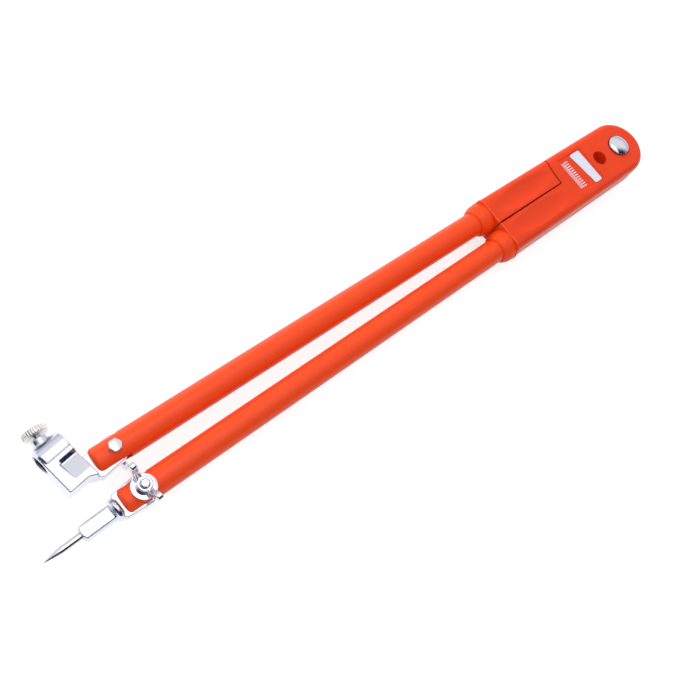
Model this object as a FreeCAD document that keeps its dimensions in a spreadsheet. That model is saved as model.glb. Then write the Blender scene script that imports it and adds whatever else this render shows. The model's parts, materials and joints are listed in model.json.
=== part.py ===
import FreeCAD, Part
import math
import os
import Sketcher

# A large hinged carpenter's compass: two coated tubes in a moulded lap-jointed head,
# with a swinging pencil holder on one leg and a swinging needle on the other.
# Lengths are millimetres and angles are degrees. The part's origin is on the axis of
# the hanging hole at the back face of the head, with +X towards the head's round end,
# +Y towards the pencil leg and +Z out of the front face.

os.makedirs("parts", exist_ok=True)
doc = FreeCAD.newDocument("carpenters_compass")
sheet = doc.addObject("Spreadsheet::Sheet", "sizes")


class Size:
    """A number that carries its spreadsheet formula, so one sum gives both."""

    def __init__(self, value, formula):
        self.value = value
        self.formula = formula

    def __add__(self, other):
        other = sized(other)
        return Size(self.value + other.value, f"({self.formula} + {other.formula})")

    def __sub__(self, other):
        other = sized(other)
        return Size(self.value - other.value, f"({self.formula} - {other.formula})")

    def __mul__(self, other):
        other = sized(other)
        return Size(self.value * other.value, f"({self.formula} * {other.formula})")

    def __truediv__(self, other):
        other = sized(other)
        return Size(self.value / other.value, f"({self.formula} / {other.formula})")

    def __neg__(self):
        return Size(-self.value, f"(-1 * {self.formula})")

    def __rsub__(self, other):
        return sized(other) - self

    __radd__ = __add__
    __rmul__ = __mul__


def sized(number):
    return number if isinstance(number, Size) else Size(float(number), f"{number}")


def sine(angle):
    angle = sized(angle)
    return Size(math.sin(math.radians(angle.value)), f"sin({angle.formula})")


def cosine(angle):
    angle = sized(angle)
    return Size(math.cos(math.radians(angle.value)), f"cos({angle.formula})")


def tangent(angle):
    return sine(angle) / cosine(angle)


def root(size):
    return Size(math.sqrt(size.value), f"sqrt({size.formula})")


def arc_radius(half_chord, rise):
    """Radius of the arc that rises by rise over twice half_chord."""
    return (half_chord * half_chord + rise * rise) / (2 * rise)


def driving(name, number):
    """Put one driving dimension on the sheet under its own name."""
    row = len(driving.names) + 1
    driving.names.append(name)
    sheet.set(f"A{row}", name)
    sheet.set(f"B{row}", str(number))
    sheet.setAlias(f"B{row}", name)
    return Size(float(number), f"sizes.{name}")


driving.names = []

# fits and clearances
running_clearance = 0.05
seated_clearance = 0.03
face_clearance = 0.02
slot_clearance = 0.05
overrun = 2.0

# moulded head
head_thickness = 18.4
head_half_width = 16.33
head_flare_angle = 0.433
head_edge_round = 3.8
handle_reach = 103.0
handle_end_round = 0.8
plate_reach = 51.3
lap_groove = 0.9
lap_gap = 0.4
seam_gap = 0.7
seam_gap_at_collar = 1.1
hang_hole_setback = 17.25
hang_hole_diameter = 8.4

# finger flutes in the handle
flute_length = 48.0
flute_width = 12.0
flute_depth = 1.1
flute_offset = 7.5
flute_margin = 3.0

# collar that holds the tube
collar_radius = 8.9
collar_length = 7.4
collar_nose_length = 5.4
collar_lip = 0.4
collar_root = 1.0

# label recess and badge
recess_near = 24.5
recess_length = 19.5
recess_half_width = 11.4
recess_depth = 0.25
badge_near = 26.2
badge_length = 21.4
badge_wide_end = 7.8
badge_narrow_end = 5.3
badge_thickness = 0.5
badge_corner_round = 0.9
badge_pocket_depth = 0.4
badge_pocket_margin = 0.35

# hinge rivet and its washers
rivet_shank_radius = 3.0
rivet_head_radius = 6.3
rivet_rim = 0.8
rivet_crown = 1.9
rivet_sunk = 0.9
rivet_sink_radius = 6.7
rivet_tail_radius = 4.6
rivet_tail_crown = 1.5
hinge_washer_radius = 6.2
hinge_washer_thickness = 1.0
friction_washer_radius = 11.0

# tube legs
tube_radius = 6.5
tube_wall = 1.4
tube_seat = 25.0
tube_spread = 9.173
tube_splay_angle = 0.379
knee_reach = 335.0
tube_end = 10.5
tube_end_round = 2.0
tube_end_wall = 2.5
slot_margin = 0.4
tongue_thickness = 6.0

# needle knee: bolt, washers and wing nut
needle_bolt_radius = 2.0
needle_bolt_flats = 7.0
needle_bolt_head = 2.8
needle_bolt_past_nut = 1.4
front_washer_radius = 5.8
front_washer_thickness = 1.0
rear_washer_radius = 4.5
rear_washer_thickness = 0.8
needle_nut_hub_radius = 3.9
needle_nut_hub_height = 4.4
needle_nut_reach = 10.1
needle_nut_height = 9.6
needle_nut_web = 3.0
needle_nut_ear = 1.9
needle_nut_angle = 96.6

# pencil knee: bolt, washer and wing nut
pencil_bolt_radius = 1.5
pencil_bolt_flats = 5.5
pencil_bolt_head = 2.2
pencil_bolt_past_nut = 1.0
pencil_washer_radius = 3.6
pencil_washer_thickness = 0.6
pencil_nut_hub_radius = 3.1
pencil_nut_hub_height = 3.6
pencil_nut_reach = 8.3
pencil_nut_height = 8.2
pencil_nut_web = 2.5
pencil_nut_ear = 1.6
pencil_nut_angle = -63.0

# needle socket, measured from its knee bolt towards the point
socket_swing_angle = 1.9
socket_tongue_half = 7.1
socket_tongue_neck = 6.0
socket_tongue_end = 13.0
socket_tongue_chamfer = 1.2
collar_start = 12.0
socket_collar_radius = 5.4
socket_collar_length = 3.3
socket_barrel_radius = 3.95
socket_barrel_end = 31.0
socket_chamfer = 1.0
socket_flat_height = 2.97
socket_flat_start = 16.0
socket_bore_depth = 13.0
grub_screw_radius = 1.5
grub_screw_setback = 6.0
grub_hex_flats = 1.5
grub_hex_depth = 1.0

# needle
needle_radius = 1.65
needle_shoulder = 40.6
needle_tip = 48.9
needle_point_radius = 0.1
needle_ogive_radius = 60.0

# pencil holder, measured from its knee bolt: along towards the mouth, out away from the other leg
holder_swing_angle = 9.28
holder_start = 12.3
holder_mouth = 26.3
holder_half_thickness = 6.0
holder_low_edge = 2.4
holder_bevel_start = 16.2
holder_bevel_drop = 2.3
holder_edge_round = 0.5
holder_tongue_half = 6.3
holder_tongue_end = 13.0
holder_tongue_corner = 11.3
holder_tongue_cut = 2.0
boss_radius = 6.8
boss_mouth_bevel = 1.4
bore_out = 15.9
pencil_bore_radius = 4.6
pad_length = 8.4
pad_low = 0.1
pad_deepest = 9.5
pad_high = 11.2
pad_depth = 2.0
pad_wall_run = 1.1

# thumb screw, measured along its axis from the axis of the pencil bore
screw_lean_angle = 11.0
screw_along = 21.0
screw_radius = 2.0
screw_tip_gap = 0.5
neck_radius = 3.9
neck_height = 9.1
neck_flare = 1.4
knob_radius = 5.8
knob_thickness = 3.2
knob_gap = 1.55
knob_rim_round = 0.7
knob_seat = 2.0
knurl_radius = 0.45

# every length and angle above goes on the sheet, and carries its formula from here on
for name, number in list(globals().items()):
    if isinstance(number, float):
        globals()[name] = driving(name, number)

# counts, turns and shares
knurl_count = 30
edge_samples = 9
hex_half_angle = 30
right_angle = 90
half_turn = 180
full_turn = 360
knurl_centre_share = 0.5
end_chamfer_share = 0.25
grub_sunk_share = 0.25
closeness_share = 0.001
close_enough = head_edge_round.value * closeness_share
half_thickness = head_thickness / 2
knee_spread = tube_spread + (knee_reach - handle_reach) * tangent(tube_splay_angle)
half_slot = tongue_thickness / 2 + slot_clearance
rivet_seat = half_thickness - rivet_sunk
doc.recompute()


def bind(feature, name, size):
    feature.setExpression(name, sized(size).formula)


def new_body(name):
    body = doc.addObject("PartDesign::Body", name)
    body.Label = name
    return body


def new_sketch(body, role, name, lift=0, shift=(0, 0), turn=0):
    """An empty sketch on one of the body's origin planes, moved within and off that plane."""
    plane = [feature for feature in body.Origin.OriginFeatures if feature.Role == role][0]
    drawing = body.newObject("Sketcher::SketchObject", f"{body.Name}_{name}")
    drawing.AttachmentSupport = [(plane, "")]
    drawing.MapMode = "FlatFace"
    turned = FreeCAD.Rotation(FreeCAD.Vector(0, 0, 1), sized(turn).value)
    drawing.AttachmentOffset = FreeCAD.Placement(FreeCAD.Vector(0, 0, 0), turned)
    for place, size in (("Base.x", shift[0]), ("Base.y", shift[1]), ("Base.z", lift)):
        bind(drawing, f"AttachmentOffset.{place}", size)
    return drawing


def fix_point(drawing, edge, end, point):
    """Hold one end of an edge at a point given in sizes."""
    for kind, size, axis in (("DistanceX", point[0], -2), ("DistanceY", point[1], -1)):
        if isinstance(size, Size):
            rule = Sketcher.Constraint(kind, -1, 1, edge, end, size.value)
            number = drawing.addConstraint(rule)
            drawing.setExpression(f"Constraints[{number}]", size.formula)
        else:
            drawing.addConstraint(Sketcher.Constraint("PointOnObject", edge, end, axis))


def draw_outline(drawing, points):
    """A closed outline, drawn counter-clockwise. A third entry is the radius of the arc to the
    next point: positive where it bulges outwards, negative where it is hollow."""
    first = drawing.GeometryCount
    count = len(points)
    places = [FreeCAD.Vector(sized(point[0]).value, sized(point[1]).value, 0) for point in points]
    ends = []
    for index, point in enumerate(points):
        start, stop = places[index], places[(index + 1) % count]
        if len(point) == 2:
            drawing.addGeometry(Part.LineSegment(start, stop), False)
            ends.append((1, 2))
            continue
        radius = sized(point[2]).value
        chord = stop - start
        rise = abs(radius) - math.sqrt(radius * radius - chord.Length * chord.Length / 4)
        outward = FreeCAD.Vector(chord.y, -chord.x, 0).normalize() * math.copysign(rise, radius)
        middle = (start + stop) / 2 + outward
        if radius > 0:
            drawing.addGeometry(Part.Arc(start, middle, stop), False)
            ends.append((1, 2))
        else:
            drawing.addGeometry(Part.Arc(stop, middle, start), False)
            ends.append((2, 1))
    for index, point in enumerate(points):
        following = (index + 1) % count
        here, there = first + index, first + following
        joined = Sketcher.Constraint("Coincident", here, ends[index][1], there, ends[following][0])
        drawing.addConstraint(joined)
        fix_point(drawing, here, ends[index][0], point)
        if len(point) == 3:
            bend = sized(point[2])
            number = drawing.addConstraint(Sketcher.Constraint("Radius", here, abs(bend.value)))
            sign = "" if bend.value > 0 else "-1 * "
            drawing.setExpression(f"Constraints[{number}]", f"{sign}{bend.formula}")


def draw_circle(drawing, centre, radius):
    middle = FreeCAD.Vector(sized(centre[0]).value, sized(centre[1]).value, 0)
    edge = drawing.addGeometry(Part.Circle(middle, FreeCAD.Vector(0, 0, 1), radius.value), False)
    fix_point(drawing, edge, 3, centre)
    number = drawing.addConstraint(Sketcher.Constraint("Radius", edge, radius.value))
    drawing.setExpression(f"Constraints[{number}]", radius.formula)


def outline_sketch(body, role, name, points, **place):
    drawing = new_sketch(body, role, name, **place)
    draw_outline(drawing, points)
    return drawing


def circle_sketch(body, role, name, centre, radii, **place):
    drawing = new_sketch(body, role, name, **place)
    for radius in radii:
        draw_circle(drawing, centre, radius)
    return drawing


def add_feature(body, kind, name, drawing):
    """A feature made from a sketch, with the body's volume before it."""
    before = body.Shape.Volume if body.Tip else 0
    feature = body.newObject(kind, f"{drawing.Name}_{name}")
    feature.Profile = drawing
    return feature, before


def check_volume(body, feature, before, cuts):
    doc.recompute()
    change = body.Shape.Volume - before
    if (cuts and change >= 0) or (not cuts and change <= 0):
        raise RuntimeError(f"{feature.Name} changed the volume by {change}")
    return feature


def pad(body, drawing, length, both_ways=False):
    feature, before = add_feature(body, "PartDesign::Pad", "pad", drawing)
    feature.SideType = "Symmetric" if both_ways else "One side"
    bind(feature, "Length", length)
    return check_volume(body, feature, before, False)


def pocket(body, drawing, length, both_ways=False, upwards=False, way=None):
    """Cut downwards, or upwards, or along a slanting way given by its three parts."""
    feature, before = add_feature(body, "PartDesign::Pocket", "pocket", drawing)
    feature.SideType = "Symmetric" if both_ways else "One side"
    feature.Reversed = upwards
    if way:
        feature.UseCustomVector = True
        feature.Direction = FreeCAD.Vector(*[sized(part).value for part in way])
        feature.AlongSketchNormal = False
    bind(feature, "Length", length)
    return check_volume(body, feature, before, True)


def spin(body, drawing, axis, cuts=False):
    kind = "PartDesign::Groove" if cuts else "PartDesign::Revolution"
    feature, before = add_feature(body, kind, "spin", drawing)
    feature.ReferenceAxis = (drawing, [axis])
    feature.Angle = full_turn
    return check_volume(body, feature, before, cuts)


def soften(body, kind, name, size, wanted):
    """Fillet or chamfer the edges of the body so far that the test picks."""
    base = body.Tip
    edges = [f"Edge{n}" for n, edge in enumerate(base.Shape.Edges, 1) if wanted(edge)]
    feature = body.newObject(f"PartDesign::{kind}", f"{body.Name}_{name}")
    feature.Base = (base, edges)
    bind(feature, "Radius" if kind == "Fillet" else "Size", size)
    doc.recompute()
    if not edges or "Invalid" in feature.State:
        raise RuntimeError(f"{feature.Name} failed on {len(edges)} edges")
    return feature


def lies_at(edge, axis, place):
    """True where the whole edge lies in the plane axis = place."""
    low, high = getattr(edge.BoundBox, f"{axis}Min"), getattr(edge.BoundBox, f"{axis}Max")
    return abs(low - place.value) < close_enough and abs(high - place.value) < close_enough


def box_points(low, high):
    return [low, (high[0], low[1]), high, (low[0], high[1])]


def hexagon_points(flats):
    side = flats / 2
    corner = side / cosine(hex_half_angle)
    step = side * tangent(hex_half_angle)
    return [(side, -step), (side, step), (0, corner), (-side, step), (-side, -step), (0, -corner)]


def place_from_hinge(body, along, across, up, turn=0, flip=False):
    """Put a body at a point measured from the hinge axis at mid thickness, turned about Z,
    after turning it over about X where flip is set."""
    point = FreeCAD.Vector(
        hang_hole_setback.value + sized(along).value,
        sized(across).value,
        half_thickness.value + sized(up).value,
    )
    turned = FreeCAD.Rotation(FreeCAD.Vector(0, 0, 1), sized(turn).value)
    over = FreeCAD.Rotation(FreeCAD.Vector(1, 0, 0), half_turn if flip else 0)
    body.Placement = FreeCAD.Placement(point, turned.multiply(over))
    return body


def place_at_knee(body, side, up=0, turn=0, flip=False):
    """Put a body at the knee bolt of the pencil leg, side 1, or of the needle leg, side -1."""
    return place_from_hinge(body, -knee_reach, side * knee_spread, up, turn, flip)


# the two halves of the head, one moulding used twice
def head_blank(body):
    side_x = head_half_width * sine(head_flare_angle)
    side_y = head_half_width * cosine(head_flare_angle)
    end_y = side_y + (handle_reach + side_x) * tangent(head_flare_angle)
    points = [
        (side_x, side_y),
        (-handle_reach, end_y),
        (-handle_reach, -end_y),
        (side_x, -side_y, head_half_width),
        (head_half_width, 0, head_half_width),
    ]
    pad(body, outline_sketch(body, "XY_Plane", "blank", points), head_thickness, both_ways=True)

    def is_long_edge(edge):
        at_face = lies_at(edge, "Z", half_thickness) or lies_at(edge, "Z", -half_thickness)
        return at_face and not lies_at(edge, "X", -handle_reach)

    soften(body, "Fillet", "edge_round", head_edge_round, is_long_edge)
    soften(body, "Fillet", "end_round", handle_end_round, lambda edge: lies_at(edge, "X", -handle_reach))


def clear_other_half(body):
    """Leave the front plate over the hinge and, beyond it, only this leg's side of the seam."""
    seam = seam_gap / 2
    wide = head_half_width + overrun
    far = handle_reach + overrun
    points = [
        (-root(plate_reach * plate_reach - seam * seam), -seam, -plate_reach),
        (-root(plate_reach * plate_reach - wide * wide), wide),
        (-far, wide),
        (-far, -seam_gap_at_collar / 2),
    ]
    pocket(body, outline_sketch(body, "XY_Plane", "seam", points), head_thickness + overrun, both_ways=True)
    lap = circle_sketch(body, "XY_Plane", "lap", (0, 0), [plate_reach + lap_groove], lift=lap_gap / 2)
    pocket(body, lap, head_thickness)


def tube_axis(body, name, points):
    """A sketch whose own X axis is the tube's axis, counted from the knee bolt to the tips."""
    return outline_sketch(
        body, "XY_Plane", name, points, shift=(-knee_reach, -knee_spread), turn=half_turn + tube_splay_angle
    )


def collar_and_bore(body):
    handle_end = -(knee_reach - handle_reach)
    lip_radius = tube_radius + collar_lip
    nose_drop = collar_radius - lip_radius
    collar_end = handle_end + collar_length
    collar = [
        (handle_end - collar_root, 0),
        (collar_end, 0),
        (collar_end, lip_radius, arc_radius(collar_nose_length, nose_drop)),
        (collar_end - collar_nose_length, collar_radius),
        (handle_end - collar_root, collar_radius),
    ]
    spin(body, tube_axis(body, "collar", collar), "H_Axis")
    bore = [
        (handle_end - tube_seat, 0),
        (collar_end + overrun, 0),
        (collar_end + overrun, tube_radius + seated_clearance),
        (handle_end - tube_seat, tube_radius + seated_clearance),
    ]
    spin(body, tube_axis(body, "bore", bore), "H_Axis", cuts=True)


def finger_flute(body, name, face):
    """A long shallow hollow, deepest in the middle; face is 1 for the front and -1 for the back."""
    section = arc_radius(flute_width / 2, flute_depth)
    lengthwise = arc_radius(flute_length / 2, flute_depth)
    near = -(handle_reach - flute_margin - flute_length)
    far = near - flute_length
    chord = section - flute_depth
    if face > 0:
        points = [(far, -chord, lengthwise), (near, -chord)]
    else:
        points = [(near, chord, lengthwise), (far, chord)]
    height = face * (half_thickness + chord)
    place = {"lift": flute_offset, "shift": (0, height)}
    spin(body, outline_sketch(body, "XZ_Plane", name, points, **place), "H_Axis", cuts=True)


def badge_points(margin=0):
    """The badge's outline, or its pocket's with a margin along and across the head."""
    half = badge_length / 2 + margin
    near = -badge_near + margin
    return [
        (-badge_near - badge_wide_end - margin, half),
        (-badge_near - badge_narrow_end - margin, -half),
        (near, -half),
        (near, half),
    ]


def label_recess(body):
    low = (-recess_near - recess_length, -recess_half_width)
    high = (-recess_near, recess_half_width)
    floor = half_thickness - recess_depth
    recess = outline_sketch(body, "XY_Plane", "recess", box_points(low, high), lift=floor)
    pocket(body, recess, overrun, upwards=True)
    badge_floor = floor - badge_pocket_depth
    outline = badge_points(badge_pocket_margin)
    seat = outline_sketch(body, "XY_Plane", "badge_seat", outline, lift=badge_floor)
    pocket(body, seat, overrun, upwards=True)


def head_half(name, front):
    body = new_body(name)
    head_blank(body)
    clear_other_half(body)
    collar_and_bore(body)
    finger_flute(body, "front_flute", 1)
    finger_flute(body, "back_flute", -1)
    rivet_hole_radius = rivet_shank_radius + running_clearance
    rivet_hole = circle_sketch(body, "XY_Plane", "rivet_hole", (0, 0), [rivet_hole_radius])
    pocket(body, rivet_hole, head_thickness + overrun, both_ways=True)
    sink = circle_sketch(body, "XY_Plane", "rivet_sink", (0, 0), [rivet_sink_radius], lift=rivet_seat)
    pocket(body, sink, overrun, upwards=True)
    hang_at = (-hang_hole_setback, 0)
    hang_hole = circle_sketch(body, "XY_Plane", "hang_hole", hang_at, [hang_hole_diameter / 2])
    pocket(body, hang_hole, head_thickness + overrun, both_ways=True)
    if front:
        label_recess(body)
    return place_from_hinge(body, 0, 0, 0, flip=not front)


def badge_plate():
    body = new_body("badge_plate")
    pad(body, outline_sketch(body, "XY_Plane", "outline", badge_points()), badge_thickness)

    def stands_up(edge):
        return abs(edge.BoundBox.ZLength - badge_thickness.value) < close_enough

    soften(body, "Fillet", "corner_round", badge_corner_round, stands_up)
    floor = half_thickness - recess_depth - badge_pocket_depth
    return place_from_hinge(body, 0, 0, floor)


# hinge
def hinge_rivet():
    body = new_body("hinge_rivet")
    back = -rivet_seat - hinge_washer_thickness
    rim = half_thickness + rivet_rim
    points = [
        (0, back - rivet_tail_crown, arc_radius(rivet_tail_radius, rivet_tail_crown)),
        (rivet_tail_radius, back),
        (rivet_shank_radius, back),
        (rivet_shank_radius, rivet_seat),
        (rivet_head_radius, rivet_seat),
        (rivet_head_radius, rim, arc_radius(rivet_head_radius, rivet_crown)),
        (0, rim + rivet_crown),
    ]
    spin(body, outline_sketch(body, "XZ_Plane", "profile", points), "V_Axis")
    return place_from_hinge(body, 0, 0, 0)


def washer(name, inner, outer, thickness):
    body = new_body(name)
    ring = circle_sketch(body, "XY_Plane", "ring", (0, 0), [outer, inner])
    pad(body, ring, thickness)
    return body


def hinge_washers():
    hole = rivet_shank_radius + running_clearance
    back = washer("hinge_washer", hole, hinge_washer_radius, hinge_washer_thickness)
    place_from_hinge(back, 0, 0, -rivet_seat - hinge_washer_thickness)
    thickness = lap_gap - 2 * face_clearance
    lap = washer("friction_washer", hole, friction_washer_radius, thickness)
    place_from_hinge(lap, 0, 0, -thickness / 2)


# tube legs
def tube_leg(name, side, bolt_radius, tongue_half):
    """A tube whose end is closed and rounded, with a slot through it for the fitting's round tongue.
    The slot ends where the tongue lies inside the tube's bore."""
    body = new_body(name)
    start = -(knee_reach - handle_reach + tube_seat)
    inner = tube_radius - tube_wall
    slot_rear = root(tongue_half * tongue_half + half_slot * half_slot - inner * inner) + slot_margin
    wall = [
        (start, inner),
        (tube_end - tube_end_wall, inner),
        (tube_end - tube_end_wall, 0),
        (tube_end, 0),
        (tube_end, tube_radius - tube_end_round, tube_end_round),
        (tube_end - tube_end_round, tube_radius),
        (start, tube_radius),
    ]
    spin(body, outline_sketch(body, "XY_Plane", "wall", wall), "H_Axis")
    slot = box_points((-slot_rear, -half_slot), (tube_end + overrun, half_slot))
    across = 2 * (tube_radius + overrun)
    pocket(body, outline_sketch(body, "XZ_Plane", "slot", slot), across, both_ways=True)
    hole = circle_sketch(body, "XY_Plane", "hole", (0, 0), [bolt_radius + running_clearance])
    pocket(body, hole, across, both_ways=True)
    return place_at_knee(body, side, turn=half_turn - side * tube_splay_angle)


# knee hardware
def knee_bolt(name, radius, flats, head, bottom, top):
    """A hexagon bolt whose head's underside is at bottom and whose end is at top."""
    body = new_body(name)
    pad(body, outline_sketch(body, "XY_Plane", "head", hexagon_points(flats), lift=bottom - head), head)
    shank = circle_sketch(body, "XY_Plane", "shank", (0, 0), [radius], lift=bottom)
    pad(body, shank, top - bottom)
    chamfer = radius * end_chamfer_share
    soften(body, "Chamfer", "end_chamfer", chamfer, lambda edge: lies_at(edge, "Z", top))
    return body


def wing_nut(name, bolt_radius, hub_radius, hub_height, reach, height, web, ear):
    """A wing nut seated on Z = 0 with its two ears along X."""
    body = new_body(name)
    wing_low_share, foot_share, foot_height_share, hub_top_share = 0.2, 0.6, 0.85, 0.84
    bend_share, hollow_share = 0.85, 0.75
    hub_top = hub_radius * hub_top_share
    ear_middle = height - ear
    places = [
        (hub_radius + (reach - hub_radius) * wing_low_share, hub_height * wing_low_share),
        (reach, ear_middle),
        (reach - ear, height),
        (reach - 2 * ear, ear_middle),
        (hub_radius * foot_share, hub_height * foot_height_share),
    ]
    bends = [reach * bend_share, ear, ear, -reach * hollow_share]
    right = [(x, z, bend) for (x, z), bend in zip(places, bends)] + [places[-1]]
    left = [(-x, z, bend) for (x, z), bend in zip(reversed(places), reversed(bends))]
    left.append((-places[0][0], places[0][1]))
    pad(body, outline_sketch(body, "XZ_Plane", "wings", right + left), web, both_ways=True)
    hub = [(0, 0), (hub_radius, 0), (hub_top, hub_height), (0, hub_height)]
    spin(body, outline_sketch(body, "XZ_Plane", "hub", hub), "V_Axis")
    hole = circle_sketch(body, "XY_Plane", "hole", (0, 0), [bolt_radius + running_clearance], lift=height)
    pocket(body, hole, height + overrun)
    return body


def needle_knee():
    up = tube_radius + front_washer_thickness
    down = tube_radius + rear_washer_thickness
    hole = needle_bolt_radius + running_clearance
    end = up + needle_nut_hub_height + needle_bolt_past_nut
    bolt = knee_bolt("needle_bolt", needle_bolt_radius, needle_bolt_flats, needle_bolt_head, -down, end)
    place_at_knee(bolt, -1)
    front = washer("needle_front_washer", hole, front_washer_radius, front_washer_thickness)
    place_at_knee(front, -1, up=tube_radius)
    rear = washer("needle_rear_washer", hole, rear_washer_radius, rear_washer_thickness)
    place_at_knee(rear, -1, up=-down)
    nut = wing_nut(
        "needle_wing_nut", needle_bolt_radius, needle_nut_hub_radius, needle_nut_hub_height,
        needle_nut_reach, needle_nut_height, needle_nut_web, needle_nut_ear,
    )
    place_at_knee(nut, -1, up=up, turn=needle_nut_angle)


def pencil_knee():
    down = tube_radius + pencil_washer_thickness
    end = down + pencil_nut_hub_height + pencil_bolt_past_nut
    radius, flats, head = pencil_bolt_radius, pencil_bolt_flats, pencil_bolt_head
    bolt = knee_bolt("pencil_bolt", radius, flats, head, -tube_radius, end)
    place_at_knee(bolt, 1, flip=True)
    hole = pencil_bolt_radius + running_clearance
    rear = washer("pencil_bolt_washer", hole, pencil_washer_radius, pencil_washer_thickness)
    place_at_knee(rear, 1, up=-down)
    nut = wing_nut(
        "pencil_wing_nut", pencil_bolt_radius, pencil_nut_hub_radius, pencil_nut_hub_height,
        pencil_nut_reach, pencil_nut_height, pencil_nut_web, pencil_nut_ear,
    )
    place_at_knee(nut, 1, up=-down, turn=pencil_nut_angle, flip=True)


# needle leg fitting
def place_in_socket(body):
    return place_at_knee(body, -1, turn=half_turn + tube_splay_angle + socket_swing_angle)


def needle_socket():
    body = new_body("needle_socket")
    half, neck = socket_tongue_half, socket_tongue_neck
    end, cut = socket_tongue_end, socket_tongue_chamfer
    tongue = [
        (-half, 0, half),
        (0, -half),
        (end - cut, -neck),
        (end, cut - neck),
        (end, neck - cut),
        (end - cut, neck),
        (0, half, half),
    ]
    pad(body, outline_sketch(body, "XY_Plane", "tongue", tongue), tongue_thickness, both_ways=True)
    bead = collar_start + socket_collar_length
    rise = socket_collar_radius - socket_barrel_radius
    barrel = [
        (collar_start, 0),
        (socket_barrel_end, 0),
        (socket_barrel_end, socket_barrel_radius - socket_chamfer),
        (socket_barrel_end - socket_chamfer, socket_barrel_radius),
        (bead, socket_barrel_radius, arc_radius(socket_collar_length / 2, rise)),
        (collar_start, socket_barrel_radius),
    ]
    spin(body, outline_sketch(body, "XY_Plane", "barrel", barrel), "H_Axis")
    low = (socket_flat_start, socket_flat_height)
    high = (socket_barrel_end + overrun, socket_collar_radius + overrun)
    flat = outline_sketch(body, "XZ_Plane", "flat", box_points(low, high))
    pocket(body, flat, 2 * (socket_collar_radius + overrun), both_ways=True)
    bore_low = (socket_barrel_end - socket_bore_depth, 0)
    bore_high = (socket_barrel_end + overrun, needle_radius + seated_clearance)
    spin(body, outline_sketch(body, "XY_Plane", "bore", box_points(bore_low, bore_high)), "H_Axis", cuts=True)
    grub_at = (socket_barrel_end - grub_screw_setback, 0)
    grub_hole = circle_sketch(body, "XY_Plane", "grub_hole", grub_at, [grub_screw_radius + seated_clearance])
    pocket(body, grub_hole, socket_barrel_radius + overrun)
    pin_hole = circle_sketch(body, "XY_Plane", "pin_hole", (0, 0), [needle_bolt_radius + running_clearance])
    pocket(body, pin_hole, tongue_thickness + overrun, both_ways=True)
    return place_in_socket(body)


def needle():
    body = new_body("needle")
    butt = socket_barrel_end - socket_bore_depth + face_clearance
    profile = [
        (butt, 0),
        (needle_tip, 0),
        (needle_tip, needle_point_radius, needle_ogive_radius),
        (needle_shoulder, needle_radius),
        (butt, needle_radius),
    ]
    spin(body, outline_sketch(body, "XY_Plane", "profile", profile), "H_Axis")
    return place_in_socket(body)


def needle_grub_screw():
    body = new_body("needle_grub_screw")
    centre = (socket_barrel_end - grub_screw_setback, 0)
    top = needle_radius + face_clearance
    bottom = socket_barrel_radius - grub_hex_depth * grub_sunk_share
    shank = circle_sketch(body, "XY_Plane", "shank", centre, [grub_screw_radius], lift=-bottom)
    pad(body, shank, bottom - top)
    hexagon = [(centre[0] + x, y) for x, y in hexagon_points(grub_hex_flats)]
    key = outline_sketch(body, "XY_Plane", "key", hexagon, lift=grub_hex_depth - bottom)
    pocket(body, key, grub_hex_depth + overrun)
    return place_in_socket(body)


# pencil leg fitting: X runs towards the mouth and -Y outwards
def place_in_holder(body):
    return place_at_knee(body, 1, turn=half_turn - tube_splay_angle + holder_swing_angle)


def holder_block(body):
    points = [
        (holder_start, -bore_out),
        (holder_mouth, -bore_out),
        (holder_mouth, holder_low_edge),
        (holder_bevel_start, holder_low_edge),
        (holder_start, holder_low_edge + holder_bevel_drop),
    ]
    block = outline_sketch(body, "XY_Plane", "block", points)
    pad(body, block, 2 * holder_half_thickness, both_ways=True)
    soften(body, "Fillet", "edge_round", holder_edge_round, lambda edge: not lies_at(edge, "Y", -bore_out))
    boss = [
        (holder_start, 0),
        (holder_mouth, 0),
        (holder_mouth, boss_radius - boss_mouth_bevel),
        (holder_mouth - boss_mouth_bevel, boss_radius),
        (holder_start + holder_edge_round, boss_radius, holder_edge_round),
        (holder_start, boss_radius - holder_edge_round),
    ]
    spin(body, outline_sketch(body, "XY_Plane", "boss", boss, shift=(0, -bore_out)), "H_Axis")


def recessed_face(body):
    """The sunk pad that leaves an L of full thickness along the mouth and under the boss. The pad's
    wall along the mouth leans outwards."""
    face = holder_half_thickness
    points = [
        (-pad_high, face),
        (-pad_deepest, face - pad_depth),
        (-pad_low, face),
        (-pad_low, face + overrun),
        (-pad_high, face + overrun),
    ]
    sunk = outline_sketch(body, "YZ_Plane", "sunk_face", points, lift=holder_start - overrun)
    pocket(body, sunk, pad_length + overrun, upwards=True)
    wall = holder_start + pad_length
    lean = pad_wall_run / pad_depth
    slope = outline_sketch(body, "XZ_Plane", "pad_wall", [
        (wall, face - pad_depth),
        (wall + lean * (pad_depth + overrun), face + overrun),
        (wall, face + overrun),
    ], lift=pad_deepest)
    run = pad_deepest - pad_low
    pocket(body, slope, root(run * run + pad_depth * pad_depth), way=(0, run, pad_depth))


def screw_sketch(body, name, points):
    """A sketch in the holder whose own X axis is the thumb screw's axis."""
    turn = -(right_angle + screw_lean_angle)
    return outline_sketch(body, "XY_Plane", name, points, shift=(screw_along, -bore_out), turn=turn)


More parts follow.
